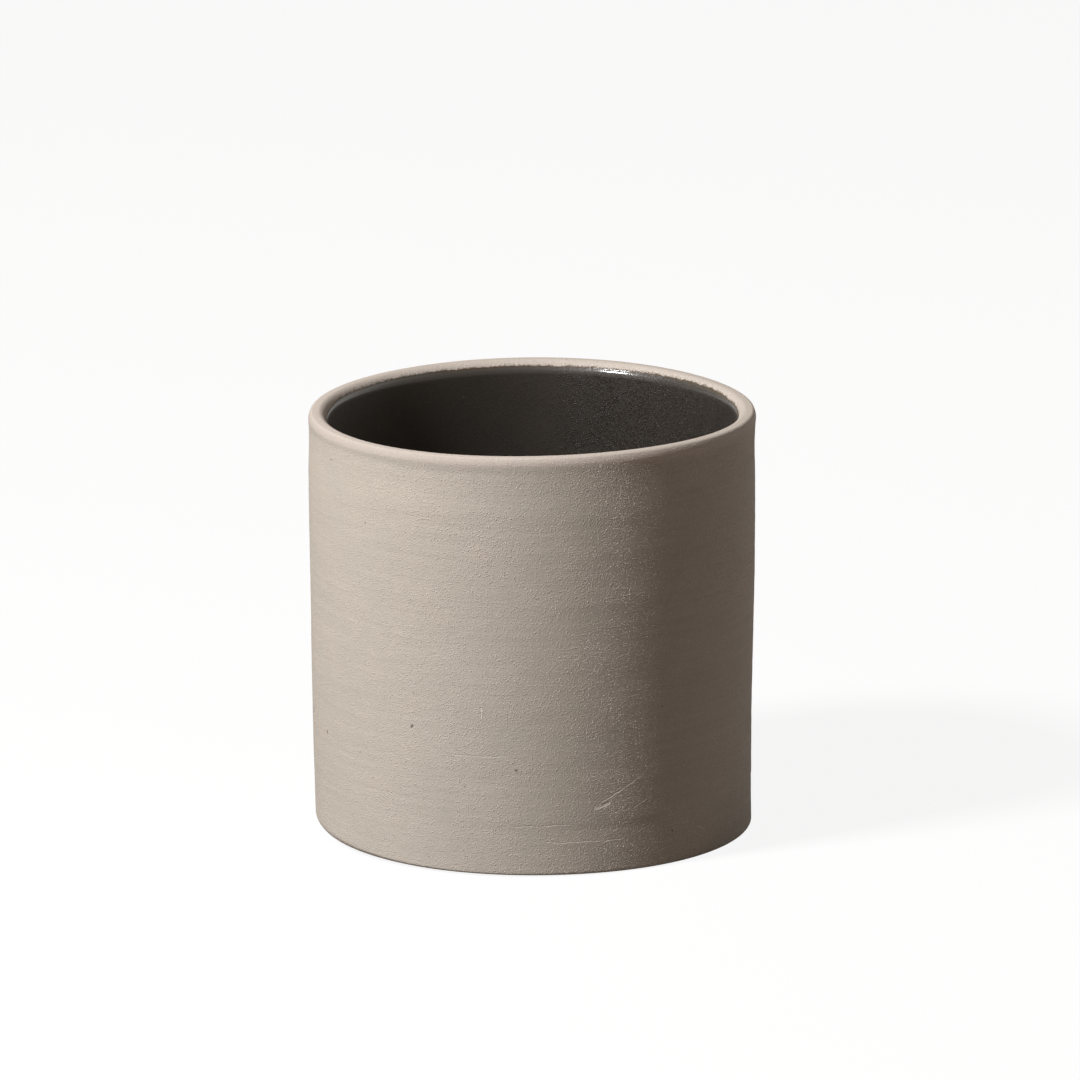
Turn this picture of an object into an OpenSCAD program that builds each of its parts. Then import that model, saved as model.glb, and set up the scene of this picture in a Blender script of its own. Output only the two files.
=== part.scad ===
/* [Cup] */
// Height from the table to the crown of the lip
cup_h = 76.4; // [60:0.1:100]
// Outside diameter across the widest line of the lip
lip_d = 80; // [70:0.5:90]
// How far the lip's widest line stands out past the wall below it
lip_proud = 0.07; // [0:0.01:0.5]
// How much the wall draws in on each side, from its top down to the base corner
wall_taper = 0.72; // [0:0.02:4]
// How far the middle of the wall swells outside a straight taper
wall_bow = 0.04; // [0:0.01:1]
// Thickness of the clay wall just above the floor
wall_foot_t = 3.9; // [2.5:0.1:6]

/* [Lip] */
// Thickness of the lip from outside to inside
lip_t = 3.4; // [2.2:0.1:5]
// Rise from the lip's widest line to its crown
lip_rise = 1.4; // [1:0.1:3]
// Drop from the crown to where the lip runs into the inner wall
lip_run = 2.7; // [1.6:0.1:5]
// Drop from the crown to the faint hollow turned under the lip
hollow_drop = 4.6; // [3.6:0.1:8]
// Depth of that hollow
hollow_depth = 0.12; // [0:0.02:0.5]
// Height over which the wall runs into that hollow
hollow_run = 5; // [2:0.1:10]

/* [Foot] */
// Radius of the outer base corner
base_r = 1.2; // [0.6:0.1:4]
// Width of the flat ring that the cup stands on
ring_w = 4.3; // [2:0.1:7]
// Width of the soft step from the ring up to the turned recess
recess_step_w = 2.6; // [1:0.1:6]
// Depth of the turned recess at its edge
recess_h = 1.2; // [0.4:0.1:3]
// How much higher the middle of the recess lies than its edge
recess_dome = 0.3; // [0:0.05:1]

/* [Floor] */
// Thickness of the clay floor at its edge, over the recess
floor_t = 4; // [2.5:0.1:8]
// How much lower the middle of the floor lies than its edge
floor_dish = 0.5; // [0:0.05:1]
// Radius of the corner between the inner wall and the floor
corner_r = 6; // [2:0.1:12]

/* [Glaze] */
// Thickness of the glaze on the wall and the floor
glaze_t = 0.35; // [0.2:0.05:0.8]
// Thickness of the glaze where it pools in the floor corner
glaze_pool_t = 0.7; // [0.2:0.05:1.2]
// Drop from the crown to the edge of the glaze
glaze_drop = 1.05; // [0.6:0.05:1.4]

/* [Hidden] */

clay_color = [0.77, 0.73, 0.69];
glaze_color = [0.18, 0.165, 0.14];

// Steps round the axis, and along each stretch of the outline
$fn = 180;
turn_steps = 8;
wall_steps = 8;
floor_steps = 10;
glaze_steps = 12;

// Share of the lip's glazed curve over which the coat comes up to its full thickness
roll_share = 0.45;

// Heights of the main levels
lip_z = cup_h - lip_rise;
run_z = cup_h - lip_run;
hollow_z = cup_h - hollow_drop;
wall_top_z = hollow_z - hollow_run;
floor_z = recess_h + floor_t;

// Radii of the main lines
lip_outer_r = lip_d / 2;
lip_inner_r = lip_outer_r - lip_t;
lip_half = lip_t / 2;
crown_r = lip_outer_r - lip_half;
wall_top_r = lip_outer_r - lip_proud;
wall_foot_r = wall_top_r - wall_taper;
hollow_r = wall_top_r - hollow_depth;
bore_foot_r = wall_foot_r - wall_foot_t;
floor_r = bore_foot_r - corner_r;
ring_outer_r = wall_foot_r - base_r;
ring_inner_r = ring_outer_r - ring_w;
recess_r = ring_inner_r - recess_step_w;

// Angle on the lip's inner curve at which the glaze starts, counted from its outer side
glaze_angle = 180 - asin(1 - glaze_drop / lip_run);

// Smooth rise from 0 to 1, level at both ends
function ease(t) = (1 - cos(180 * t)) / 2;

// Equal steps from 0 to 1
function shares(steps) = [for (i = [0:steps]) i / steps];

// Arc of an ellipse about [r, z] with half sizes a and b, from one angle to another
function arc(r, z, a, b, from, to, steps) =
    [for (t = shares(steps)) let (w = from + (to - from) * t) [r + a * cos(w), z + b * sin(w)]];

// Smooth S from one point to another, level with the second axis at both ends
function s_curve(p, q, steps) =
    [for (t = shares(steps)) [p[0] + (q[0] - p[0]) * ease(t), p[1] + (q[1] - p[1]) * t]];

// Smooth S that is level with the first axis at both ends
function s_step(p, q, steps) =
    [for (t = shares(steps)) [p[0] + (q[0] - p[0]) * t, p[1] + (q[1] - p[1]) * ease(t)]];

// Two lines in one, where the second starts at the end of the first
function linked(a, b) = concat(a, [for (i = [1:len(b) - 1]) b[i]]);

// Underside from the axis out to the standing ring
function underside() = linked(
    s_step([0, recess_h + recess_dome], [recess_r, recess_h], floor_steps),
    s_step([recess_r, recess_h], [ring_inner_r, 0], turn_steps)
);

// Base corner and outer wall, up to the lip
function base_corner() = arc(ring_outer_r, base_r, base_r, base_r, -90, 0, turn_steps);
function wall() = [for (t = shares(wall_steps)) [
    wall_foot_r + (wall_top_r - wall_foot_r) * t + wall_bow * sin(180 * t),
    base_r + (wall_top_z - base_r) * t
]];

// Hollow under the lip, up to the lip's widest line
function hollow() = linked(
    s_curve([wall_top_r, wall_top_z], [hollow_r, hollow_z], turn_steps),
    s_curve([hollow_r, hollow_z], [lip_outer_r, lip_z], turn_steps)
);

// Bare part of the lip, over the crown to the edge of the glaze
function bare_lip() = linked(
    arc(crown_r, lip_z, lip_half, lip_rise, 0, 90, turn_steps),
    arc(crown_r, run_z, lip_half, lip_run, 90, glaze_angle, turn_steps)
);

// Whole bare side of the clay, from the axis below to the edge of the glaze
function bare_side() = linked(
    concat(underside(), linked(base_corner(), wall())),
    linked(hollow(), bare_lip())
);

// Glazed side of the clay, from the edge of the glaze down the lip and the wall to the axis
function glazed_lip() = arc(crown_r, run_z, lip_half, lip_run, glaze_angle, 180, glaze_steps);
function corner() = arc(floor_r, floor_z + corner_r, corner_r, corner_r, 0, -90, floor_steps);
function inner_floor() = s_step([floor_r, floor_z], [0, floor_z - floor_dish], floor_steps);
function glazed_side() = concat(glazed_lip(), linked(corner(), inner_floor()));

// Thickness of the coat at each point of the glazed side
function coat() = concat(
    [for (t = shares(glaze_steps)) glaze_t * sin(90 * min(t / roll_share, 1))],
    [for (t = shares(floor_steps)) glaze_t + (glaze_pool_t - glaze_t) * sin(180 * t)],
    [for (i = [1:floor_steps]) glaze_t]
);

// Direction from point i of a line towards the hollow of the cup
function inward(line, i) =
    let (
        before = line[max(i - 1, 0)],
        after = line[min(i + 1, len(line) - 1)],
        run = after - before
    )
    i == len(line) - 1 ? [0, 1] : [run[1], -run[0]] / norm(run);

// Open side of the coat, from its edge on the lip to the axis
function coat_side(line, t) = [for (i = [0:len(line) - 1]) line[i] + inward(line, i) * t[i]];

function reversed(line) = [for (i = [len(line) - 1:-1:0]) line[i]];

module clay_body() {
    color(clay_color)
    rotate_extrude()
    polygon(linked(bare_side(), glazed_side()));
}

module glaze_lining() {
    color(glaze_color)
    rotate_extrude()
    polygon(concat(glazed_side(), reversed(coat_side(glazed_side(), coat()))));
}

clay_body();
glaze_lining();
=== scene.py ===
"""Dresses the packed clay cup: the bare clay body and the dark glaze inside it, in a pale studio.

Lengths are in metres. The helpers that shape the outline and the finishes take millimetres,
and say so in their names.
"""

import math

import bmesh
import bpy
from bpy.props import FloatProperty, FloatVectorProperty, IntProperty, PointerProperty
from mathutils import Matrix, Vector, noise


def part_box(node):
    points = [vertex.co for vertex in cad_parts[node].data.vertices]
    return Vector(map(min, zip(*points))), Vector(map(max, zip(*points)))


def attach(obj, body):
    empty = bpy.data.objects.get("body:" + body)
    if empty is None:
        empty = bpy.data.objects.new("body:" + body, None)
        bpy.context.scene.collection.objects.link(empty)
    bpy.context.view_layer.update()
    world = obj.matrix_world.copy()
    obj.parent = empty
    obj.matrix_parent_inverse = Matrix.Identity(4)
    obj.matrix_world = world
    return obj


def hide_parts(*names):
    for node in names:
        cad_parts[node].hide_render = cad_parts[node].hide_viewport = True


bl_info = {
    "name": "Clay cup",
    "version": (1, 0, 0),
    "blender": (4, 5, 0),
    "location": "3D View > Sidebar > Clay cup",
    "description": "Makes a bare clay cup with a dark glaze inside, round its packed solids",
    "category": "Object",
}

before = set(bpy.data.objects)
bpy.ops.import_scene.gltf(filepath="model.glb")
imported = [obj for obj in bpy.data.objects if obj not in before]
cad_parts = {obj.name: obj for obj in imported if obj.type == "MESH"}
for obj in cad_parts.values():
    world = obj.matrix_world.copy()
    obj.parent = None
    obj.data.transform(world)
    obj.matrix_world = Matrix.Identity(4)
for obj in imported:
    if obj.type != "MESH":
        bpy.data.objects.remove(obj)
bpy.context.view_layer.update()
CLAY_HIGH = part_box("clay_body")[1]

MM = 0.001
# Points of a sheet that are closer than this are one
TOUCHING = 0.001 * MM

# How far the hand-turned lip's middle level lies below its highest point
LIP_WAVE_HIGH = 0.33 * MM
# How far the leaning lip's widest point stands further out than half its width
LIP_LEAN_OUT = 0.12 * MM


def length(name, text, metres):
    return FloatProperty(name=name, description=text, default=metres, min=0, unit="LENGTH", precision=5)


def angle(name, text, degrees):
    return FloatProperty(name=name, description=text, default=math.radians(degrees), unit="ROTATION")


def power(name, text, watts):
    return FloatProperty(name=name, description=text, default=watts, min=0, unit="POWER")


def colour(name, text, red, green, blue):
    return FloatVectorProperty(
        name=name, description=text, default=(red, green, blue), min=0, max=1, size=3, subtype="COLOR"
    )


def share(name, text, value):
    return FloatProperty(name=name, description=text, default=value, min=0, max=1, subtype="FACTOR")


def steps(name, text, count):
    return IntProperty(name=name, description=text, default=count, min=3)


class ClayShape(bpy.types.PropertyGroup):
    """Sizes of the thrown clay"""

    height: length("Height", "Middle level of the lip's crown", CLAY_HIGH.z - LIP_WAVE_HIGH)
    lip_radius: length("Lip radius", "Middle radius of the lip's widest line", CLAY_HIGH.x - LIP_LEAN_OUT)
    lip_thickness: length("Lip thickness", "From the lip's outside to its inside", 3.4 * MM)
    lip_run: length("Lip run", "From the crown down to the inner wall", 2.7 * MM)
    facet_width: length("Facet width", "Set-back of the facet wiped on the lip's outer edge", 0.42 * MM)
    facet_drop: length("Facet drop", "From the crown down to the foot of that facet", 0.95 * MM)
    edge_round: length("Edge rounding", "How far the lip's outer edge is rounded off", 0.36 * MM)
    belly_round: length("Belly rounding", "How far the foot of the facet is rounded off", 0.42 * MM)
    crown_fall: length("Crown fall", "How far the flat crown falls towards its outer edge", 0.04 * MM)
    hollow_depth: length("Hollow depth", "Depth of the hollow turned under the lip", 0.15 * MM)
    hollow_turn: length("Hollow turn", "How fast the wall turns in under the lip", 0.6 * MM)
    hollow_reach: length("Hollow reach", "How far below the lip the hollow has run out", 10.5 * MM)
    foot_radius: length("Foot radius", "Radius that the wall has at the table", 39.0 * MM)
    wall_swell: length("Wall swell", "Swell of the wall outside a straight taper", 0.12 * MM)
    corner_round: length("Base rounding", "Largest width of the outer base corner's rounding", 3.9 * MM)
    ring_inner_radius: length("Ring inner radius", "Inside of the flat standing ring", 33.71 * MM)
    recess_radius: length("Recess radius", "Where the step up from the ring ends", 31.11 * MM)
    recess_depth: length("Recess depth", "Depth of the turned recess at its edge", 1.2 * MM)
    recess_middle: length("Recess middle", "Depth of the turned recess in its middle", 1.5 * MM)
    bore_radius: length("Bore radius", "Inner wall's radius at the floor", 35.31 * MM)
    floor_corner: length("Floor corner", "Radius between the inner wall and the floor", 6 * MM)
    floor_edge: length("Floor edge level", "Level of the floor at its edge", 5.2 * MM)
    floor_middle: length("Floor middle level", "Level of the floor in its middle", 4.7 * MM)
    turns: steps("Steps round", "Steps round the axis", 360)


class GlazeShape(bpy.types.PropertyGroup):
    """Sizes of the glaze coat"""

    thickness: length("Thickness", "Thickness of the coat on the wall", 0.35 * MM)
    pool: length("Pool thickness", "Thickness of the coat in the floor corner", 0.7 * MM)
    drop: length("Edge drop", "From the crown down to the edge of the coat", 1.05 * MM)
    roll: length("Edge roll", "How far from its edge the coat turns down into the wall", 0.75 * MM)
    fill_out: length("Fill out", "How far from its edge the coat reaches its full thickness", 6 * MM)
    raggedness: length("Raggedness", "How far the edge wanders up and down", 0.15 * MM)
    turns: steps("Steps round", "Steps round the axis", 900)


class ClayFinish(bpy.types.PropertyGroup):
    """Colours of the bare clay"""

    body: colour("Clay", "Colour of the fired clay", 0.560, 0.502, 0.438)
    rosy: colour("Rosy clay", "Colour of the pinker patches and of the lip", 0.600, 0.520, 0.465)
    ashen: colour("Ashen clay", "Colour of the greyer patches", 0.535, 0.490, 0.425)
    salt: colour("Light grains", "Colour of the light grains and the scratches", 0.780, 0.730, 0.650)
    iron: colour("Dark grains", "Colour of the few iron grains", 0.120, 0.085, 0.060)
    stain: colour("Glaze stain", "Colour of the clay where the glaze has bled", 0.120, 0.085, 0.055)
    grain: length("Grain height", "Height of the sandy grain", 0.16 * MM)


class GlazeFinish(bpy.types.PropertyGroup):
    """Colours of the glaze"""

    body: colour("Glaze", "Colour of the glaze where it is thick", 0.029, 0.0235, 0.0185)
    russet: colour("Russet edge", "Colour of the thin edge at the back", 0.085, 0.045, 0.028)
    olive: colour("Olive edge", "Colour of the thin edge on the right", 0.080, 0.060, 0.035)
    # Milky colour: real specks, and also the painted highlight on the far-left edge and the painted sheen
    # over the left
    milky: colour("Milky edge", "Colour of the thin edge on the far left", 0.330, 0.340, 0.280)
    roughness: share("Roughness", "Roughness of the satin glaze", 0.60)


class Studio(bpy.types.PropertyGroup):
    """The floor, the lamps and the light all round"""

    lamp_turn: angle("Lamp turn", "How far the lamp stands to the left of the camera", 56.8)
    lamp_rise: angle("Lamp rise", "How high the lamp stands above the table", 44.5)
    lamp_distance: length("Lamp distance", "From the cup to the lamp", 1.2)
    lamp_size: length("Lamp size", "Side of the square soft lamp", 0.20)
    lamp_power: power("Lamp power", "Power of the soft lamp", 17.5)
    edge_turn: angle("Edge lamp turn", "How far the edge lamp stands to the right of the camera", 122)
    edge_rise: angle("Edge lamp rise", "How high the edge lamp stands above the table", 26)
    edge_size: length("Edge lamp size", "Side of the square edge lamp", 0.8)
    edge_power: power("Edge lamp power", "Power of the edge lamp", 1.03)
    fill: colour("Fill", "Light from all round", 0.085, 0.068, 0.050)
    bounce_near: colour("Near bounce", "Light off the table close to the cup", 0.190, 0.160, 0.155)
    bounce_far: colour("Far bounce", "Light off the table further away", 0.255, 0.205, 0.190)
    bounce_reach: length("Bounce reach", "How far from the cup the near bounce has faded", 0.24)
    floor_shade: share("Floor shade", "Share of the table's white that the lamp gives", 0.10)
    dim_side: colour("Dim side", "The room away from the backdrop, as a gloss shows it", 0.68, 0.60, 0.52)
    floor_size: length("Floor size", "Side of the table top", 12)


class ViewPoint(bpy.types.PropertyGroup):
    """Where the photograph was taken from"""

    distance: length("Distance", "From the cup's middle to the camera", 2.6114)
    rise: angle("Rise", "Camera's height above level", 13.986)
    roll: angle("Roll", "Camera's turn about its view", -0.430)
    aim_up: angle("Aim up", "How far above the cup's middle the camera aims", 0.2948)
    aim_right: angle("Aim right", "How far right of the cup's middle the camera aims", 0.0300)
    lens: FloatProperty(name="Lens", description="Focal length on a 36 mm sensor", default=487.27, min=1)


SETTINGS = {
    "cup_clay_shape": ClayShape,
    "cup_glaze_shape": GlazeShape,
    "cup_clay_finish": ClayFinish,
    "cup_glaze_finish": GlazeFinish,
    "cup_studio": Studio,
    "cup_view_point": ViewPoint,
}


def smooth(low, high, value):
    """Smooth rise from 0 at low to 1 at high"""
    t = min(max((value - low) / (high - low), 0), 1)
    return t * t * (3 - 2 * t)


# The potter's hand: how the turned shape departs from a true round

# Shift of the whole cup that keeps its lip inside the solids' box, and of its foot, in mm to the right
SHIFT_ALL = -0.19
SHIFT_AT_FOOT = -0.05
# What each stretch of level adds to the shift: lowest level, highest level and shift, in mm
SHIFTS = ((0, 20, -0.12), (20, 52, 0.25), (66, 76, 0.15))

# Waves of the lip: how many go round, and their cosine and sine heights in mm
LIP_WAVES = ((2, -0.235, -0.107), (3, -0.071, -0.014))

# Level at which the wall swells most, and how far the swell reaches, in mm
SWELL_LEVEL = 50
SWELL_REACH = 18

# Smallest base rounding across and up as shares of the largest width, which it has on the left
CORNER_LEAST_ACROSS = 0.20
CORNER_LEAST_UP = 0.18
# How much taller it gets towards the left, as a share of that width
CORNER_MORE_UP = 0.50
# Shares of the way to the left between which it widens
CORNER_WIDENS = (-0.8, 0.75)

# Rings that the turning tool left: how quickly each kind changes round the cup and up it,
# where it lies in the noise, and its depth in mm
TURNING_RINGS = ((0.5, 0.17, (0, 0), 0.035), (0.9, 0.42, (7, 0), 0.024), (1.6, 1.1, (0, 5), 0.009))
# How far the rings climb towards their high side, in mm, and the turn of that side
RING_CLIMB = 0.5
RING_HIGH_TURN = 1

# Swells that fingers left: how quickly they change round the cup and up it, and their depth in mm
FINGER_ROUND = 1.4
FINGER_UP = 0.03
FINGER_DEPTH = 0.06

# Dents in the outer wall: way round from the front, level, width and depth, in mm
DENTS = ((49.0, 8.0, 1.2, 0.11), (-57.5, 28.5, 0.9, 0.07), (-55.0, 6.5, 1.6, 0.06), (44.0, 4.0, 1.0, 0.05))

# Where the glaze climbs the lip: turn and reach in radians, and rise in mm
GLAZE_CLIMBS = ((0.60, 0.45, 0.26), (0.0, 0.25, -0.15), (2.35, 0.25, 0.12), (3.14, 0.30, -0.42))
# Unevenness of the glaze's edge: how quickly each kind changes round the lip, where it lies in the noise,
# and its height as a share of the raggedness
EDGE_WANDER = ((4, 11, 0.9),)
EDGE_TEETH = ((34, 4, 0.7), (90, 8, 0.8))


def noise_round(turn, quickness, level, shift=(0, 0)):
    """Smooth noise that joins up with itself round the cup"""
    across, along = shift
    place = Vector((math.cos(turn) * quickness + across, math.sin(turn) * quickness + along, level))
    return noise.noise(place)


def sideways(z_mm):
    """Sideways shift of a level, in mm"""
    return SHIFT_ALL + SHIFT_AT_FOOT + sum(shift * smooth(low, high, z_mm) for low, high, shift in SHIFTS)


def lip_wave(turn):
    """Rise and fall of the lip round the cup, in mm"""
    return sum(
        cosine * math.cos(waves * turn) + sine * math.sin(waves * turn) for waves, cosine, sine in LIP_WAVES
    )


def corner_shares(turn):
    """Width and height of the base rounding at this turn, as shares of its largest width"""
    left = -math.cos(turn)
    across = CORNER_LEAST_ACROSS + (1 - CORNER_LEAST_ACROSS) * smooth(*CORNER_WIDENS, left)
    return across, CORNER_LEAST_UP + CORNER_MORE_UP * max(left, 0) ** 3


def turning_rings(turn, z_mm):
    """Faint tilted rings that the turning tool left, in mm"""
    level = z_mm + RING_CLIMB * math.cos(turn - RING_HIGH_TURN)
    return sum(
        depth * noise_round(turn, quickness, level * up, shift)
        for quickness, up, shift, depth in TURNING_RINGS
    )


def out_of_round(turn, z_mm):
    """Broad swells that fingers left in the wall, in mm"""
    return FINGER_DEPTH * noise_round(turn, FINGER_ROUND, z_mm * FINGER_UP + 3)


def dented(turn, z_mm, radius_mm):
    """Depth of the dents at a place of the outer wall, in mm"""
    way = math.atan2(math.cos(turn), -math.sin(turn)) * radius_mm
    return sum(
        depth * math.exp(-(((way - at) / width) ** 2) - ((z_mm - level) / width) ** 2)
        for at, level, width, depth in DENTS
    )


def hand_shaped(place, height):
    """The place in metres that a point of the true round has on the hand-turned cup"""
    turn = math.atan2(place.y, place.x)
    lift = (place.z / height) ** 2 * lip_wave(turn)
    return Vector((place.x + sideways(place.z / MM) * MM, place.y, place.z + lift * MM))


def edge_noise(turn, kinds):
    """Unevenness of the glaze's edge at this turn, as a share of its raggedness"""
    return sum(part * noise_round(turn, quickness, level) for quickness, level, part in kinds)


def glaze_climb(turn, raggedness_mm):
    """How far the glaze has climbed the lip at this turn, in mm"""
    climbs = sum(rise * math.exp(-(((turn - at) / reach) ** 2)) for at, reach, rise in GLAZE_CLIMBS)
    return climbs + raggedness_mm * edge_noise(turn, EDGE_WANDER)


def glaze_teeth(turn, raggedness_mm):
    """How far the fine teeth of the glaze's edge stand up at this turn, in mm"""
    return raggedness_mm * edge_noise(turn, EDGE_TEETH)


def pushed_out(place, out_mm):
    """The place moved straight away from the axis"""
    reach = math.hypot(place.x, place.y)
    if reach == 0:
        return place
    grown = (reach + out_mm * MM) / reach
    return Vector((place.x * grown, place.y * grown, place.z))


# Shaping helpers

# A spin slows down as its sheet grows, so only one of these sectors is spun, and then repeated
SECTORS = 12

# Longer stretches of an outline than this are cut into steps
LONG = 20 * MM
# Share of a wall's radius outside which a stretch counts as part of that wall
NEAR_WALL = 0.97
# Steps in the rounding between the inner wall and the floor, of the clay and of the glaze on it
FLOOR_CORNER_STEPS = 8


def drawn_line(points):
    """A bmesh that holds one line through points of radius and level"""
    sheet = bmesh.new()
    corners = [sheet.verts.new((radius, 0, level)) for radius, level in points]
    for start, end in zip(corners, corners[1:]):
        sheet.edges.new((start, end))
    return sheet, corners


def rounded(sheet, corner, radius, segments):
    """Rounds one corner of a line"""
    bmesh.ops.bevel(
        sheet,
        geom=[corner],
        offset=radius,
        offset_type="OFFSET",
        affect="VERTICES",
        segments=segments,
        profile=0.5,
        material=-1,
    )


def cut(sheet, radius, least, cuts):
    """Cuts the stretches of a line that are longer than least and reach past a radius"""
    long = [
        edge
        for edge in sheet.edges
        if edge.calc_length() > least and max(corner.co.x for corner in edge.verts) > radius
    ]
    bmesh.ops.subdivide_edges(sheet, edges=long, cuts=cuts)


def merged(sheet):
    bmesh.ops.remove_doubles(sheet, verts=sheet.verts, dist=TOUCHING)


def turned(sheet, turn, count, copied):
    """Sweeps everything on the sheet round the axis, or copies it from step to step"""
    bmesh.ops.spin(
        sheet,
        geom=sheet.verts[:] + sheet.edges[:] + sheet.faces[:],
        cent=(0, 0, 0),
        axis=(0, 0, 1),
        angle=turn,
        steps=count,
        use_merge=False,
        use_duplicate=copied,
    )


def spun(sheet, turns):
    """Spins the line into one sector, repeats the sector round the axis, and closes the seams and poles"""
    sector = math.tau / SECTORS
    turned(sheet, sector, turns // SECTORS, False)
    turned(sheet, math.tau - sector, SECTORS - 1, True)
    merged(sheet)
    bmesh.ops.recalc_face_normals(sheet, faces=sheet.faces)


def dressed(sheet, name, finish):
    """Turns the bmesh into a smooth named piece with a finish"""
    mesh = bpy.data.meshes.new(name)
    for face in sheet.faces:
        face.smooth = True
    sheet.to_mesh(mesh)
    sheet.free()
    mesh.materials.append(finish)
    piece = bpy.data.objects.new(name, mesh)
    bpy.context.scene.collection.objects.link(piece)
    return piece


# Finishes


class Wire:
    """A shader socket, so that sums on what it carries read as plain sums"""

    def __init__(self, finish, socket):
        self.finish = finish
        self.socket = socket

    def maths(self, operation, *values):
        return self.finish.node("Math", {"operation": operation}, dict(enumerate(values)))

    def __add__(self, other):
        return self.maths("ADD", self, other)

    def __radd__(self, other):
        return self.maths("ADD", other, self)

    def __sub__(self, other):
        return self.maths("SUBTRACT", self, other)

    def __rsub__(self, other):
        return self.maths("SUBTRACT", other, self)

    def __mul__(self, other):
        return self.maths("MULTIPLY", self, other)

    def __rmul__(self, other):
        return self.maths("MULTIPLY", other, self)

    def __truediv__(self, other):
        return self.maths("DIVIDE", self, other)

    def __rtruediv__(self, other):
        return self.maths("DIVIDE", other, self)

    def __neg__(self):
        return self * -1.0

    def angle_from(self, other):
        """Turn, in radians, whose sine goes with this and whose cosine with the other"""
        return self.maths("ARCTAN2", self, other)

    def most(self, other):
        return self.maths("MAXIMUM", self, other)

    def least(self, other):
        return self.maths("MINIMUM", self, other)

    def ramp(self, low, high, start, end):
        """Smooth change from start at low to end at high"""
        sockets = {0: self, 1: low, 2: high, 3: start, 4: end}
        return self.finish.node("MapRange", {"interpolation_type": "SMOOTHSTEP"}, sockets)

    def rise(self, low, high):
        """Smooth rise from 0 at low to 1 at high"""
        return self.ramp(low, high, 0.0, 1.0)

    def fall(self, low, high):
        """Smooth fall from 1 at low to 0 at high"""
        return self.ramp(low, high, 1.0, 0.0)


def opaque(value):
    return value if isinstance(value, Wire) else (*value, 1)


class Finish:
    """A material that is built node by node"""

    def __init__(self, name, kind="material"):
        if kind == "world":
            self.owner = bpy.data.worlds.new(name)
        else:
            self.owner = bpy.data.materials.new(name)
        self.owner.use_nodes = True
        self.tree = self.owner.node_tree
        self.tree.nodes.clear()

    def node(self, kind, settings=None, sockets=None, out=0):
        """One node, with its settings, then its sockets, and the output that is wanted"""
        made = self.tree.nodes.new("ShaderNode" + kind)
        for key, value in (settings or {}).items():
            setattr(made, key, value)
        for key, value in (sockets or {}).items():
            if isinstance(value, Wire):
                self.tree.links.new(value.socket, made.inputs[key])
            else:
                made.inputs[key].default_value = value
        return Wire(self, made.outputs[out]) if len(made.outputs) else made

    def mixed(self, first, second, part):
        """From the first colour to the second as part goes from 0 to 1"""
        sockets = {0: part, 6: opaque(first), 7: opaque(second)}
        return self.node("Mix", {"data_type": "RGBA", "clamp_factor": True}, sockets, out=2)

    def shaded(self, first, amount):
        """A colour times a grey amount"""
        grey = self.node("CombineXYZ", None, {0: amount, 1: amount, 2: amount})
        return self.node("VectorMath", {"operation": "MULTIPLY"}, {0: first, 1: grey})

    def speckle(self, place, per_mm, detail=2.0, roughness=0.5, stretch=(1, 1, 1), shift=(0, 0, 0)):
        """Noise from 0 to 1, stretched and moved where that is asked"""
        if stretch != (1, 1, 1) or shift != (0, 0, 0):
            place = self.node("Mapping", None, {"Vector": place, "Scale": stretch, "Location": shift})
        sockets = {"Vector": place, "Scale": per_mm, "Detail": detail, "Roughness": roughness}
        return self.node("TexNoise", None, sockets)

    def cells(self, place, per_mm):
        """Distance from the nearest cell's middle, and that cell's own number from 0 to 1"""
        distance = self.node("TexVoronoi", {"feature": "F1"}, {"Vector": place, "Scale": per_mm})
        kinds = Wire(self, distance.socket.node.outputs["Color"])
        return distance, self.split(kinds)[0]

    def in_millimetres(self):
        """Place on the piece in mm"""
        place = self.node("TexCoord", out="Object")
        return self.node("VectorMath", {"operation": "SCALE"}, {0: place, "Scale": 1 / MM})

    def split(self, place):
        parts = self.node("SeparateXYZ", None, {0: place})
        sockets = parts.socket.node.outputs
        return [Wire(self, sockets[axis]) for axis in range(3)]

    def kept(self, name):
        """A number that the mesh holds at each of its points"""
        return self.node("Attribute", {"attribute_name": name}, out="Fac")

    def bump(self, relief):
        """Surface direction that a relief in mm gives"""
        return self.node("Bump", None, {"Strength": 1.0, "Distance": MM, "Height": relief})

    def surfaced(self, sockets):
        """Closes the material with one main shader"""
        self.node("OutputMaterial", None, {0: self.node("BsdfPrincipled", None, sockets)})
        return self.owner


# Marks on the outer wall: where each starts and ends, as way round from the front and level,
# and its width, all in mm
SCRATCHES = (
    ((20.1, 17.3), (10.6, 12.4), 0.17),
    ((21.9, 13.2), (18.6, 11.7), 0.14),
    ((33.2, 5.6), (35.2, 4.8), 0.18),
    ((43.6, 4.4), (44.6, 3.4), 0.18),
    ((-9.4, 30.9), (-9.5, 29.2), 0.22),
    ((-14.6, 21.8), (-5.2, 22.1), 0.12),
    ((2.0, 6.4), (15.5, 6.1), 0.12),
    ((-3.4, 9.3), (6.2, 9.5), 0.10),
    ((-31.0, 44.5), (-27.6, 44.1), 0.13),
)
NICKS = (
    ((13.4, 12.9), (10.9, 12.2), 0.42),
    ((-57.4, 29.6), (-57.6, 28.2), 0.50),
)
IRON_SPOTS = (
    ((-22.9, 26.2), (-22.8, 26.3), 0.36),
    ((-47.0, 20.5), (-47.0, 20.7), 0.34),
    ((-3.3, 19.6), (-3.2, 19.6), 0.33),
    ((-56.8, 22.8), (-56.9, 22.0), 0.40),
)


# Share of a mark's width within which it keeps its full strength
MARK_CORE = 0.25


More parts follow.
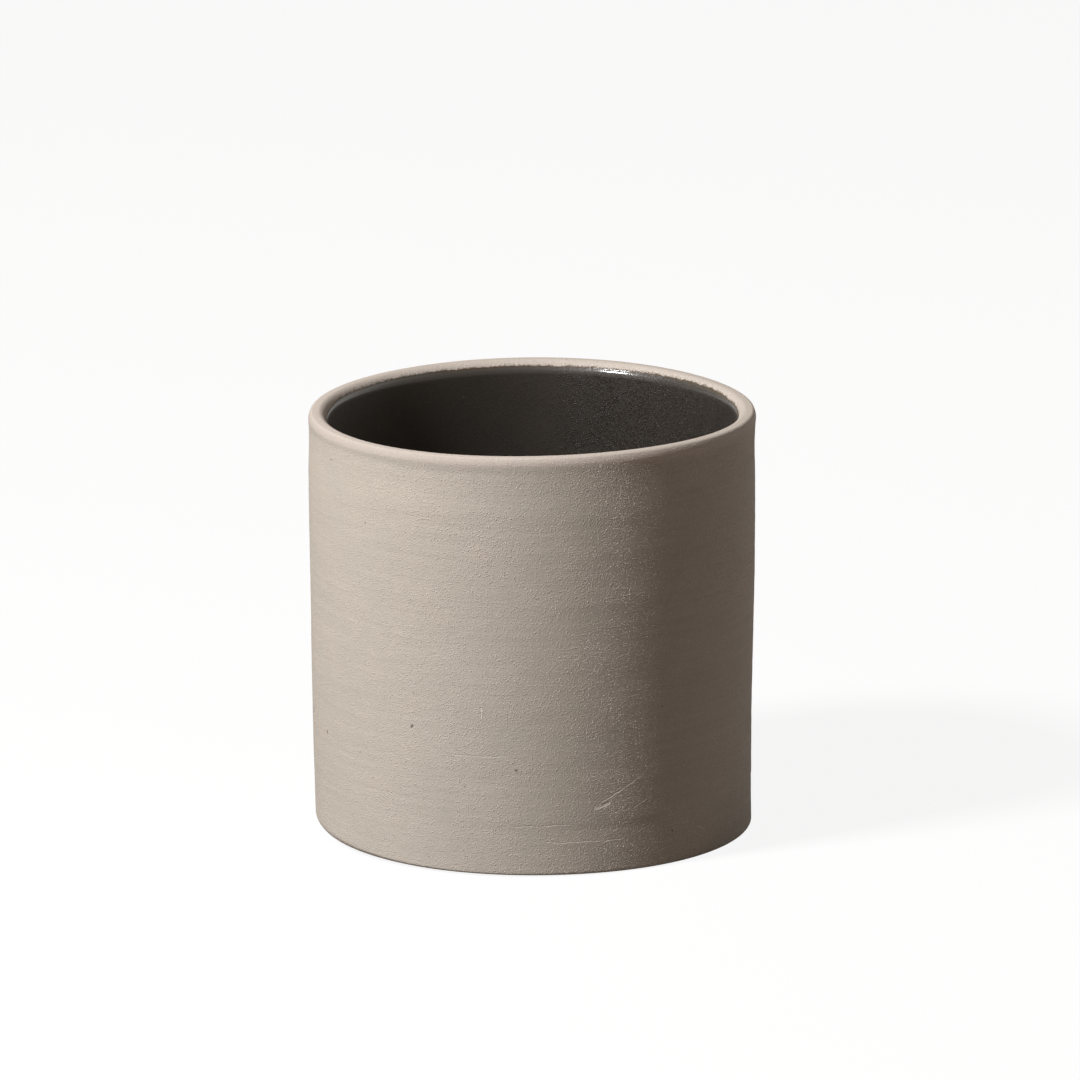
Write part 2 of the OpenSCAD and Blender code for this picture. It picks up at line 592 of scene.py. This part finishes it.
def struck(way, level, marks):
    """1 on straight marks on the wall, fading out over their widths"""
    struck_here = None
    for start, end, width in marks:
        run = Vector(end) - Vector(start)
        from_start = way - start[0]
        above_start = level - start[1]
        along = from_start * (run.x / run.length_squared) + above_start * (run.y / run.length_squared)
        along = along.most(0.0).least(1.0)
        off = from_start - along * run.x
        up = above_start - along * run.y
        mark = (off * off + up * up).fall((MARK_CORE * width) ** 2, width**2)
        struck_here = mark if struck_here is None else struck_here.most(mark)
    return struck_here


class BareClay:
    """Patterns of the bare clay, and the colour and the relief that they make"""

    # Depths below the crown over which the wiped lip and the facet on its outside begin, in mm
    lip_start = (2.2, 1.0)
    facet_start = (3.2, 1.6)
    # How far over the crown from the glaze's edge that facet begins, in mm
    facet_over = (2.0, 2.5)

    # Stretches across the cup, in mm to the right of its middle, where painted shade darkens the wiped lip,
    # where painted light lightens the facet and painted shade darkens it, and where the stain gets weaker
    lip_painted_shade = (5.0, 25.0)
    facet_painted_light = (10.0, 28.0)
    facet_painted_shade = (-25.0, 12.0)
    stain_weak = (-37.0, -33.0)

    # Numbers of the cells that are light grains, and strengths of the noise that make dark ones
    light_grains = (0.84, 0.92)
    dark_grains = (0.79, 0.83)

    # Heights above the glaze's edge over which the stain ends, and the sand beside it stops showing, in mm
    stain_end = (0.0, 0.26)
    sandy_end = (0.3, 1.1)

    def __init__(self, made, shape):
        place = made.in_millimetres()
        self.made = made
        self.x, self.y, self.z = made.split(place)
        self.top_mm = shape.height / MM
        self.lip = self.below_crown(self.lip_start)
        self.above_edge = made.kept("above_glaze")
        self.patches = made.speckle(place, per_mm=0.11, detail=3.0, roughness=0.55)
        self.mottle = made.speckle(place, per_mm=0.5, detail=3.0, roughness=0.6)
        self.lumps = made.speckle(place, per_mm=1.35, roughness=0.55)
        self.sand = made.speckle(place, per_mm=2.6, roughness=0.6)
        self.grit = made.speckle(place, per_mm=4.4, detail=1.0, shift=(2, 7, 4))
        self.flecks = made.speckle(place, per_mm=0.9, detail=1.0, shift=(3, 5, 9))
        self.rings = made.speckle(place, per_mm=1.0, detail=3.0, roughness=0.55, stretch=(0.05, 0.05, 1.1))
        self.combing = made.speckle(place, per_mm=1.0, roughness=0.6, stretch=(0.16, 0.16, 3.6))
        self.combed = self.patches.rise(0.48, 0.66)
        self.grain_away, self.grain_kind = made.cells(place, per_mm=3.0)
        self.strike((shape.foot_radius + shape.lip_radius) / 2 / MM)

    def below_crown(self, depths):
        """Rise from 0 at the first depth below the crown to 1 at the second"""
        low, high = depths
        return self.z.rise(self.top_mm - low, self.top_mm - high)

    def strike(self, radius_mm):
        """Places the marks on the wall, which waver a little, as real scratches do"""
        waver = (self.mottle - 0.5) * 1.1 + (self.sand - 0.5) * 0.35
        way = self.x.angle_from(-self.y) * radius_mm
        scratches = struck(way + waver, self.z + waver * 0.6, SCRATCHES)
        self.scratches = scratches * self.combing.rise(0.30, 0.52)
        self.nicks = struck(way + waver * 0.3, self.z, NICKS)
        self.iron = struck(way + waver * 0.4, self.z + waver * 0.3, IRON_SPOTS)

    def tone(self, look):
        """Colour of the clay: its body, then its wear with painted light and shade on the lip and its facet,
        its grains and marks, and the glaze's stain
        """
        mixed, shaded = self.made.mixed, self.made.shaded
        tone = mixed(look.ashen, look.body, self.patches.rise(0.35, 0.62))
        tone = mixed(tone, look.rosy, (self.mottle.rise(0.45, 0.75) * 0.22).most(self.lip * 0.7))
        # The wear also holds painted light and shade: the lip and its facet lighter or darker across the cup
        tone = shaded(tone, self.wear())
        salt = self.grain_kind.rise(*self.light_grains) * self.grain_away.fall(0.25, 0.55)
        salt = salt * (0.45 - self.lip * 0.20)
        tone = mixed(tone, look.salt, salt.most(self.scratches * 0.55).most(self.nicks * 0.75))
        iron = self.flecks.rise(*self.dark_grains) * 0.7
        tone = mixed(tone, look.iron, iron.most(self.iron * 0.75))
        tone = shaded(tone, 1 + self.above_edge.fall(*self.sandy_end) * (self.sand - 0.5) * 0.6)
        bled = (self.above_edge + (self.grit - 0.5) * 0.8 + (self.lumps - 0.5) * 0.7).fall(*self.stain_end)
        return mixed(tone, look.stain, bled * (0.8 - self.x.fall(*self.stain_weak) * 0.5))

    def wear(self):
        """How much lighter or darker the clay is, from turning and from wiping its lip, and from painted
        light and shade on the lip and its facet
        """
        grained = 1 + (self.rings - 0.5) * 0.16 + (self.sand - 0.5) * 0.12 + (self.grit - 0.5) * 0.30
        grained = grained + (self.combing - 0.5) * self.combed * 0.12
        # The lip is a little lighter from wiping, and painted shade darkens it right of the middle, on the
        # side away from the lamp
        wiped = self.lip * (0.02 - self.x.rise(*self.lip_painted_shade) * 0.05)
        facet = self.above_edge.rise(*self.facet_over) * self.below_crown(self.facet_start)
        # Painted light on the facet right of the middle, and painted shade on it to the left
        facet = facet * (self.x.rise(*self.facet_painted_light) * 0.10 - self.x.fall(*self.facet_painted_shade) * 0.12)
        return grained * (1 + wiped + facet)

    def relief(self, grain_mm):
        """Height of the surface, in mm"""
        grains = self.grain_away.fall(0.05, 0.50) * (self.grain_kind * 0.85 + 0.15)
        sandy = self.lumps * 0.12 + self.sand * 0.20 + grains * 0.62 + self.grit * 0.35
        patchy = self.patches.rise(0.3, 0.7) * 0.25 + 0.75
        height = sandy * patchy * grain_mm * (1 - self.lip * 0.3)
        height = height + self.rings * 0.03 + self.combing * self.combed * 0.035
        return height - self.scratches * 0.05 - self.nicks * 0.08


def clay_finish(shape, look):
    """Bare sandy clay, with a wiped lip, painted light and shade on the lip and its facet, and a stain beside
    the glaze
    """
    made = Finish("bare_clay")
    clay = BareClay(made, shape)
    made.owner.cycles.use_bump_map_correction = False
    return made.surfaced(
        {
            "Base Color": clay.tone(look),
            "Roughness": 0.80 - clay.lip * 0.12,
            "Specular IOR Level": 0.3,
            "Normal": made.bump(clay.relief(look.grain / MM)),
        }
    )


class DarkGlaze:
    """Patterns of the glaze, and the colour, the coat and the relief that they make"""

    # Stretches across the cup, in mm to the right of its middle, where the thin edge turns olive,
    # like the body, and milky as a painted highlight, and where it gets wider on the right and on the far
    # left
    edge_olive = (16.0, 30.0)
    edge_plain = (-19.0, -12.0)
    edge_painted_highlight = (-37.5, -34.5)
    wide_right = (20.0, 34.0)
    wide_left = (-37.0, -35.5)

    # The same, where painted sheen lightens the left, the crystals sparkle, and the full gloss begins and
    # ends
    painted_sheen_left = (-36.0, -8.0)
    sparkle = (0.0, 14.0)
    gloss_start = (4.0, 11.0)
    gloss_end = (19.0, 26.0)

    # Numbers of the cells that are crystals, and strengths of the noise that make milky specks
    crystal_kinds = (0.35, 0.55)
    milky_specks = (0.78, 0.82)

    # Depths below the edge over which the glossy coat begins, in mm
    coat_start = (0.08, 0.22)

    def __init__(self, made):
        place = made.in_millimetres()
        self.made = made
        self.x = made.split(place)[0]
        self.below_edge = made.kept("below_edge")
        self.clouds = made.speckle(place, per_mm=0.16, detail=3.0, roughness=0.55)
        self.ripple = made.speckle(place, per_mm=1.1)
        self.pores = made.speckle(place, per_mm=3.3, roughness=0.6)
        self.specks = made.speckle(place, per_mm=1.5, detail=1.0, shift=(5, 1, 8))
        self.crystal_away, crystal_kind = made.cells(place, per_mm=3.3)
        self.crystals = crystal_kind.rise(*self.crystal_kinds)
        self.sparkling = self.x.rise(*self.sparkle)

    def tone(self, look):
        """Colour of the glaze, from its body and its thin edge to its specks, with a painted highlight on the
        far-left edge and painted sheen over the left
        """
        mixed = self.made.mixed
        edge = mixed(look.russet, look.olive, self.x.rise(*self.edge_olive))
        edge = mixed(edge, look.body, self.x.fall(*self.edge_plain))
        # Painted highlight: the thin edge on the far left turns milky
        edge = mixed(edge, look.milky, self.x.fall(*self.edge_painted_highlight))
        width_mm = 0.30 + self.x.rise(*self.wide_right) * 0.25 + self.x.fall(*self.wide_left) * 0.3
        thin = 1 - (self.below_edge / width_mm + (self.pores - 0.5) * 2.4).rise(0.0, 1.0)
        tone = mixed(look.body, edge, thin * 0.85)
        tone = self.made.shaded(tone, 0.8 + self.clouds * 0.4)
        # Painted sheen: the left of the inside is lightened towards the milky colour
        tone = mixed(tone, look.milky, self.x.fall(*self.painted_sheen_left) * 0.10)
        return mixed(tone, look.milky, self.specks.rise(*self.milky_specks) * 0.35)

    def relief(self):
        """Height of the surface, in mm"""
        crystals = self.crystal_away.fall(0.10, 0.50) * self.crystals * (0.015 + self.sparkling * 0.07)
        return self.pores * 0.035 + self.ripple * 0.02 + crystals

    def coat(self):
        """Weight of the glossy coat: none at the very edge, and most right of the middle"""
        gloss = self.x.rise(*self.gloss_start) * self.x.fall(*self.gloss_end)
        return self.below_edge.rise(*self.coat_start) * (0.5 + gloss * 0.5)


def glaze_finish(look):
    """Dark satin glaze, browner along its thin edge, with a fine sparkle, a painted highlight on its far-left
    edge and painted sheen over the left
    """
    made = Finish("dark_glaze")
    glaze = DarkGlaze(made)
    return made.surfaced(
        {
            "Base Color": glaze.tone(look),
            "Roughness": look.roughness - glaze.crystals * (0.08 + glaze.sparkling * 0.20),
            "Specular IOR Level": 0.5,
            "Coat Weight": glaze.coat(),
            "Coat Roughness": 0.13,
            "Normal": made.bump(glaze.relief()),
        }
    )


# Pieces


class CUP_OT_clay_body(bpy.types.Operator):
    """Turn the clay body: foot, wall, lip and floor in one"""

    bl_idname = "cup.clay_body"
    bl_label = "Clay body"

    wall_cuts = 140
    bore_cuts = 10
    floor_cuts = 4
    crown_cuts = 4
    # Longer stretches of the crown than this are cut into steps
    crown_stretch = 0.8 * MM
    # How far outside the bore the points of the outer wall begin
    wall_depth = 2 * MM
    # Level over which the turning rings begin above the table, and depths below the crown
    # over which they end, in mm
    rings_start = 3
    rings_end = (3.2, 1.2)
    # Level up to which the base rounding still moves the wall, in mm
    corner_reach = 9
    # Width of the standing ring's soft inner edge, in mm
    ring_edge = 0.9
    # Distance below the lip's widest line over which the wall's swell begins, in mm
    swell_start = 4
    # The hollow is whole down to its reach divided by this
    hollow_whole = 3

    def execute(self, context):
        shape, glaze = context.scene.cup_clay_shape, context.scene.cup_glaze_shape
        sheet = self.drawn_outline(shape)
        spun(sheet, shape.turns)
        self.shaped_by_hand(sheet, shape, glaze)
        finish = clay_finish(shape, context.scene.cup_clay_finish)
        piece = dressed(sheet, "turned_clay", finish)
        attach(piece, "root")
        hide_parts("clay_body")
        return {"FINISHED"}

    def drawn_outline(self, shape):
        half = shape.lip_thickness / 2
        crown = shape.lip_radius - half
        sheet, corners = drawn_line(
            [
                (0, shape.recess_middle),
                (shape.recess_radius, shape.recess_depth),
                (shape.ring_inner_radius, 0),
                (shape.foot_radius, 0),
                (shape.lip_radius, shape.height - shape.facet_drop),
                (shape.lip_radius - shape.facet_width, shape.height),
                (crown, shape.height),
                (crown - half, shape.height),
                (shape.bore_radius, shape.floor_edge),
                (0, shape.floor_middle),
            ]
        )
        _, recess, ring_in, ring_out, belly, edge, _, lip_in, floor_edge, _ = corners
        # Each corner's rounding, and the steps in it
        for corner, radius, segments in (
            (recess, 1.0 * MM, 3),
            (ring_in, 0.8 * MM, 3),
            (ring_out, shape.corner_round, 14),
            (belly, shape.belly_round, 6),
            (edge, shape.edge_round, 8),
            (lip_in, half, 16),
            (floor_edge, shape.floor_corner, FLOOR_CORNER_STEPS),
        ):
            rounded(sheet, corner, radius, segments)
        merged(sheet)
        for corner in sheet.verts:
            below = shape.height - corner.co.z
            if below < half and corner.co.x < crown:
                corner.co.z = shape.height - below * shape.lip_run / half
        cut(sheet, shape.foot_radius * NEAR_WALL, LONG, self.wall_cuts)
        cut(sheet, shape.bore_radius * NEAR_WALL, LONG, self.bore_cuts)
        cut(sheet, 0, LONG, self.floor_cuts)
        cut(sheet, crown, self.crown_stretch, self.crown_cuts)
        for corner in sheet.verts:
            if corner.co.x > crown:
                corner.co.z -= shape.crown_fall * ((corner.co.x - crown) / half) ** 2 * 2
        return sheet

    def shaped_by_hand(self, sheet, shape, glaze):
        """Moves each point of the true round to where the potter's hand left it"""
        above_glaze = sheet.verts.layers.float.new("above_glaze")
        outer = shape.bore_radius + self.wall_depth
        rings_low, rings_high = (shape.height / MM - depth for depth in self.rings_end)
        for corner in sheet.verts:
            turn = math.atan2(corner.co.y, corner.co.x)
            reach = math.hypot(corner.co.x, corner.co.y)
            corner[above_glaze] = self.height_above_glaze(corner.co.z, reach, turn, shape, glaze)
            place = self.base_rounded(corner.co.copy(), reach, turn, shape)
            if reach > outer:
                z_mm = place.z / MM
                bare = smooth(0, self.rings_start, z_mm) * (1 - smooth(rings_low, rings_high, z_mm))
                rings = turning_rings(turn, z_mm) + out_of_round(turn, z_mm)
                dents = dented(turn, z_mm, shape.foot_radius / MM)
                place = pushed_out(place, self.swelled(z_mm, shape) + rings * bare - dents)
            corner.co = hand_shaped(place, shape.height)

    def height_above_glaze(self, level, reach, turn, shape, glaze):
        """How far a point lies above the glaze's edge, in mm, counted on over the crown to the outside"""
        crown = shape.lip_radius - shape.lip_thickness / 2
        if reach > crown:
            return (glaze.drop + reach - crown) / MM
        ragged_mm = glaze.raggedness / MM
        up_mm = (level - shape.height + glaze.drop) / MM
        return up_mm - glaze_climb(turn, ragged_mm) - glaze_teeth(turn, ragged_mm)

    def base_rounded(self, place, reach, turn, shape):
        """Draws the base rounding in to its shares at this turn"""
        inset_mm, z_mm = (shape.foot_radius - reach) / MM, place.z / MM
        ring_mm = (shape.foot_radius - shape.ring_inner_radius) / MM - self.ring_edge
        if inset_mm > ring_mm or z_mm > self.corner_reach:
            return place
        across, up = corner_shares(turn)
        across = 1 + (across - 1) * (1 - smooth(shape.corner_round / MM, ring_mm, inset_mm))
        up = 1 + (up - 1) * (1 - smooth(shape.corner_round / MM, self.corner_reach, z_mm))
        place = pushed_out(place, inset_mm - inset_mm * across)
        place.z *= up
        return place

    def swelled(self, z_mm, shape):
        """How far the wall stands outside a straight taper, in mm: its swell less the hollow under the lip"""
        swell = shape.wall_swell / MM * math.exp(-(((z_mm - SWELL_LEVEL) / SWELL_REACH) ** 2))
        belly_mm = (shape.height - shape.facet_drop - shape.belly_round) / MM
        under = max(belly_mm - z_mm, 0)
        turned_in = under * MM / shape.hollow_turn
        hollow = shape.hollow_depth / MM * (1 - (1 + turned_in) * math.exp(-turned_in))
        reach = shape.hollow_reach / MM
        hollow *= 1 - smooth(reach / self.hollow_whole, reach, under)
        return swell * smooth(0, self.swell_start, under) - hollow


class CUP_OT_glaze_lining(bpy.types.Operator):
    """Pour the glaze: a coat on the inner wall and the floor, with a rolled ragged edge"""

    bl_idname = "cup.glaze_lining"
    bl_label = "Glaze lining"

    # Distances of the first rings of points from the edge of the coat, in mm
    edge_rings = (0, 0.04, 0.10, 0.18, 0.28, 0.42, 0.62, 0.92, 1.28)
    wall_cuts = 12
    floor_cuts = 4
    # How far below the edge its teeth still move the coat, in mm
    teeth_reach = 0.35
    # Thickness at the very edge, as a share of the full thickness
    feather = 0.05
    # Where the pool begins and is full, up the wall and in over the floor, in radii of the floor corner
    pool_up = (1, 0.4)
    pool_in = (1.3, 0.7)
    # How far below the floor's edge the pool still reaches
    pool_depth = 0.2 * MM

    def execute(self, context):
        clay, shape = context.scene.cup_clay_shape, context.scene.cup_glaze_shape
        sheet = self.drawn_outline(clay, shape)
        spun(sheet, shape.turns)
        self.thickened(sheet, clay, shape)
        finish = glaze_finish(context.scene.cup_glaze_finish)
        piece = dressed(sheet, "poured_glaze", finish)
        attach(piece, "root")
        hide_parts("glaze_lining")
        return {"FINISHED"}

    def lip_reach(self, clay, level):
        """Radius of the lip's inner curve at a level"""
        half = clay.lip_thickness / 2
        up = min(max((level - (clay.height - clay.lip_run)) / clay.lip_run, 0), 1)
        return clay.lip_radius - half - half * math.sqrt(1 - up * up)

    def drawn_outline(self, clay, shape):
        edge = clay.height - shape.drop
        run = clay.height - clay.lip_run
        rings = [edge - ring * MM for ring in self.edge_rings] + [run]
        points = [(self.lip_reach(clay, level), level) for level in rings]
        points += [(clay.bore_radius, clay.floor_edge), (0, clay.floor_middle)]
        sheet, corners = drawn_line(points)
        rounded(sheet, corners[-2], clay.floor_corner, FLOOR_CORNER_STEPS)
        cut(sheet, clay.bore_radius * NEAR_WALL, LONG, self.wall_cuts)
        cut(sheet, 0, LONG, self.floor_cuts)
        return sheet

    def thickened(self, sheet, clay, shape):
        """Gives the coat its edge, then its thickness towards the hollow of the cup"""
        below_edge = sheet.verts.layers.float.new("below_edge")
        self.crept(sheet, clay, shape, below_edge)
        sheet.normal_update()
        top = max(sheet.verts, key=lambda corner: corner.co.z)
        if top.normal.xy.dot(top.co.xy) > 0:
            bmesh.ops.reverse_faces(sheet, faces=sheet.faces[:])
            sheet.normal_update()
        into_cup = {tuple(corner.co): corner.normal.copy() for corner in sheet.verts}
        grown = bmesh.ops.extrude_face_region(sheet, geom=sheet.faces[:])["geom"]
        for corner in grown:
            if isinstance(corner, bmesh.types.BMVert):
                way = into_cup[tuple(corner.co)]
                corner.co = corner.co + way * self.thickness(clay, shape, corner.co, corner[below_edge])
        for corner in sheet.verts:
            corner.co = hand_shaped(corner.co, clay.height)
        bmesh.ops.recalc_face_normals(sheet, faces=sheet.faces)

    def crept(self, sheet, clay, shape, below_edge):
        """Slides the edge of the coat up and down the lip, and keeps each point's depth below it"""
        edge = clay.height - shape.drop
        reach_mm = self.edge_rings[-1]
        ragged_mm = shape.raggedness / MM
        for corner in sheet.verts:
            below_mm = (edge - corner.co.z) / MM
            corner[below_edge] = below_mm
            if below_mm < reach_mm:
                turn = math.atan2(corner.co.y, corner.co.x)
                creep = glaze_climb(turn, ragged_mm) * (1 - smooth(0, reach_mm, below_mm))
                creep += glaze_teeth(turn, ragged_mm) * (1 - smooth(0, self.teeth_reach, below_mm))
                level = corner.co.z + creep * MM
                reach = math.hypot(corner.co.x, corner.co.y)
                corner.co = pushed_out(corner.co, (self.lip_reach(clay, level) - reach) / MM)
                corner.co.z = level

    def thickness(self, clay, shape, place, below_mm):
        """Thickness of the coat at a place: none at its edge, full below the roll, and most in the pool"""
        roll = (smooth(0, shape.roll / MM, below_mm) + smooth(0, shape.fill_out / MM, below_mm)) / 2
        roll = max(roll, self.feather)
        level = place.z - clay.floor_edge
        start, full = (clay.floor_corner * up for up in self.pool_up)
        pool = smooth(start, full, level) if level > -self.pool_depth else 0
        start, full = (clay.bore_radius - clay.floor_corner * inward for inward in self.pool_in)
        pool *= smooth(start, full, math.hypot(place.x, place.y))
        return (shape.thickness + (shape.pool - shape.thickness) * pool) * roll


class CUP_OT_studio(bpy.types.Operator):
    """Set the pale table, the two soft lamps and the light all round"""

    bl_idname = "cup.studio"
    bl_label = "Studio"

    # Where a gloss sees the white backdrop: how far behind the cup, and how high, as parts of
    # the way that the ray goes
    backdrop_side = (-0.25, 0.25)
    backdrop_top = (0.12, 0.30)

    def execute(self, context):
        studio = context.scene.cup_studio
        self.floor(studio)
        soft_way = self.way_to(-studio.lamp_turn, studio.lamp_rise)
        edge_way = self.way_to(studio.edge_turn, studio.edge_rise)
        self.lamp("soft_lamp", soft_way, studio.lamp_distance, studio.lamp_size, studio.lamp_power)
        self.lamp("edge_lamp", edge_way, studio.lamp_distance, studio.edge_size, studio.edge_power)
        self.world(studio)
        context.scene.view_settings.view_transform = "Standard"
        return {"FINISHED"}

    def seen_plainly(self, made):
        """1 for rays that show the studio, and 0 for those that light the cup"""
        kinds = ("Is Camera Ray", "Is Glossy Ray", "Is Transmission Ray")
        camera, glossy, through = (made.node("LightPath", out=kind) for kind in kinds)
        return camera.most(glossy).most(through)

    def floor(self, studio):
        sheet = bmesh.new()
        bmesh.ops.create_grid(sheet, x_segments=8, y_segments=8, size=studio.floor_size / 2)
        made = Finish("white_table")
        place = made.node("TexCoord", out="Object")
        away = made.node("VectorMath", {"operation": "LENGTH"}, {0: place}, out="Value")
        near = away.fall(CLAY_HIGH.x, studio.bounce_reach)
        bounced = made.mixed(studio.bounce_far, studio.bounce_near, near)
        bounce = made.node("BsdfDiffuse", None, {"Color": bounced})
        shade = studio.floor_shade
        lit = made.node("BsdfDiffuse", None, {"Color": (shade, shade, shade, 1)})
        white = made.node("Emission", None, {"Color": (1, 1, 1, 1), "Strength": 1 - shade})
        shown = made.node("AddShader", None, {0: lit, 1: white})
        shader = made.node("MixShader", None, {0: self.seen_plainly(made), 1: bounce, 2: shown})
        made.node("OutputMaterial", None, {0: shader})
        table = dressed(sheet, "table_top", made.owner)

    def way_to(self, turn, rise):
        """Way from the cup at a turn to the right of the camera and a rise above the table"""
        return Vector((math.sin(turn) * math.cos(rise), -math.cos(turn) * math.cos(rise), math.sin(rise)))

    def lamp(self, name, way, distance, size, watts):
        """A square lamp that faces the cup, unseen by the camera"""
        light = bpy.data.lights.new(name, "AREA")
        light.shape = "SQUARE"
        light.size = size
        light.energy = watts
        lamp = bpy.data.objects.new(name, light)
        lamp.location = way * distance + Vector((0, 0, CLAY_HIGH.z / 2))
        lamp.rotation_euler = way.to_track_quat("Z", "Y").to_euler()
        lamp.visible_camera = False
        bpy.context.scene.collection.objects.link(lamp)

    def world(self, studio):
        made = Finish("white_room", "world")
        fill = made.node("Background", None, {"Color": (*studio.fill, 1), "Strength": 1.0})
        white = made.node("Background", None, {"Color": (1, 1, 1, 1), "Strength": 1.0})
        dim = made.node("Background", None, {"Color": (*studio.dim_side, 1), "Strength": 1.0})
        _, away, up = made.split(made.node("TexCoord", out="Object"))
        backdrop = away.rise(*self.backdrop_side) * up.fall(*self.backdrop_top)
        camera = made.node("LightPath", out="Is Camera Ray")
        shown = made.node("MixShader", None, {0: backdrop.most(camera), 1: dim, 2: white})
        shader = made.node("MixShader", None, {0: self.seen_plainly(made), 1: fill, 2: shown})
        made.node("OutputWorld", None, {0: shader})
        bpy.context.scene.world = made.owner


class CUP_OT_camera(bpy.types.Operator):
    """Set the camera at the photograph's place"""

    bl_idname = "cup.camera"
    bl_label = "Camera"

    def execute(self, context):
        view = context.scene.cup_view_point
        eye = bpy.data.cameras.new("photo_camera")
        eye.lens = view.lens
        eye.sensor_width = 36
        eye.clip_start = 0.05
        eye.clip_end = 100
        camera = bpy.data.objects.new("photo_camera", eye)
        target = Vector((SHIFT_ALL * MM, 0, context.scene.cup_clay_shape.height / 2))
        back = Vector((0, -math.cos(view.rise), math.sin(view.rise)))
        turned = (
            back.to_track_quat("Z", "Y").to_matrix().to_4x4()
            @ Matrix.Rotation(view.roll, 4, "Z")
            @ Matrix.Rotation(view.aim_up, 4, "X")
            @ Matrix.Rotation(-view.aim_right, 4, "Y")
        )
        camera.matrix_world = Matrix.Translation(target + back * view.distance) @ turned
        context.scene.collection.objects.link(camera)
        context.scene.camera = camera
        return {"FINISHED"}


class CUP_PT_maker(bpy.types.Panel):
    """Lists the cup's pieces and its studio with their sizes and colours"""

    bl_idname = "CUP_PT_maker"
    bl_label = "Clay cup"
    bl_space_type = "VIEW_3D"
    bl_region_type = "UI"
    bl_category = "Clay cup"

    rows = (
        (("cup_clay_shape", "cup_clay_finish"), "cup.clay_body"),
        (("cup_glaze_shape", "cup_glaze_finish"), "cup.glaze_lining"),
        (("cup_studio",), "cup.studio"),
        (("cup_view_point",), "cup.camera"),
    )

    def draw(self, context):
        for groups, operator in self.rows:
            box = self.layout.box()
            for group in groups:
                settings = getattr(context.scene, group)
                for name in settings.__annotations__:
                    box.prop(settings, name)
            box.operator(operator)


CLASSES = (
    *SETTINGS.values(),
    CUP_OT_clay_body,
    CUP_OT_glaze_lining,
    CUP_OT_studio,
    CUP_OT_camera,
    CUP_PT_maker,
)


def register():
    for kind in CLASSES:
        bpy.utils.register_class(kind)
    for name, kind in SETTINGS.items():
        setattr(bpy.types.Scene, name, PointerProperty(type=kind))


def unregister():
    for name in SETTINGS:
        delattr(bpy.types.Scene, name)
    for kind in reversed(CLASSES):
        bpy.utils.unregister_class(kind)


def main():
    register()
    bpy.ops.cup.camera()
    bpy.ops.cup.clay_body()
    bpy.ops.cup.glaze_lining()
    bpy.ops.cup.studio()


if __name__ == "__main__":
    main()
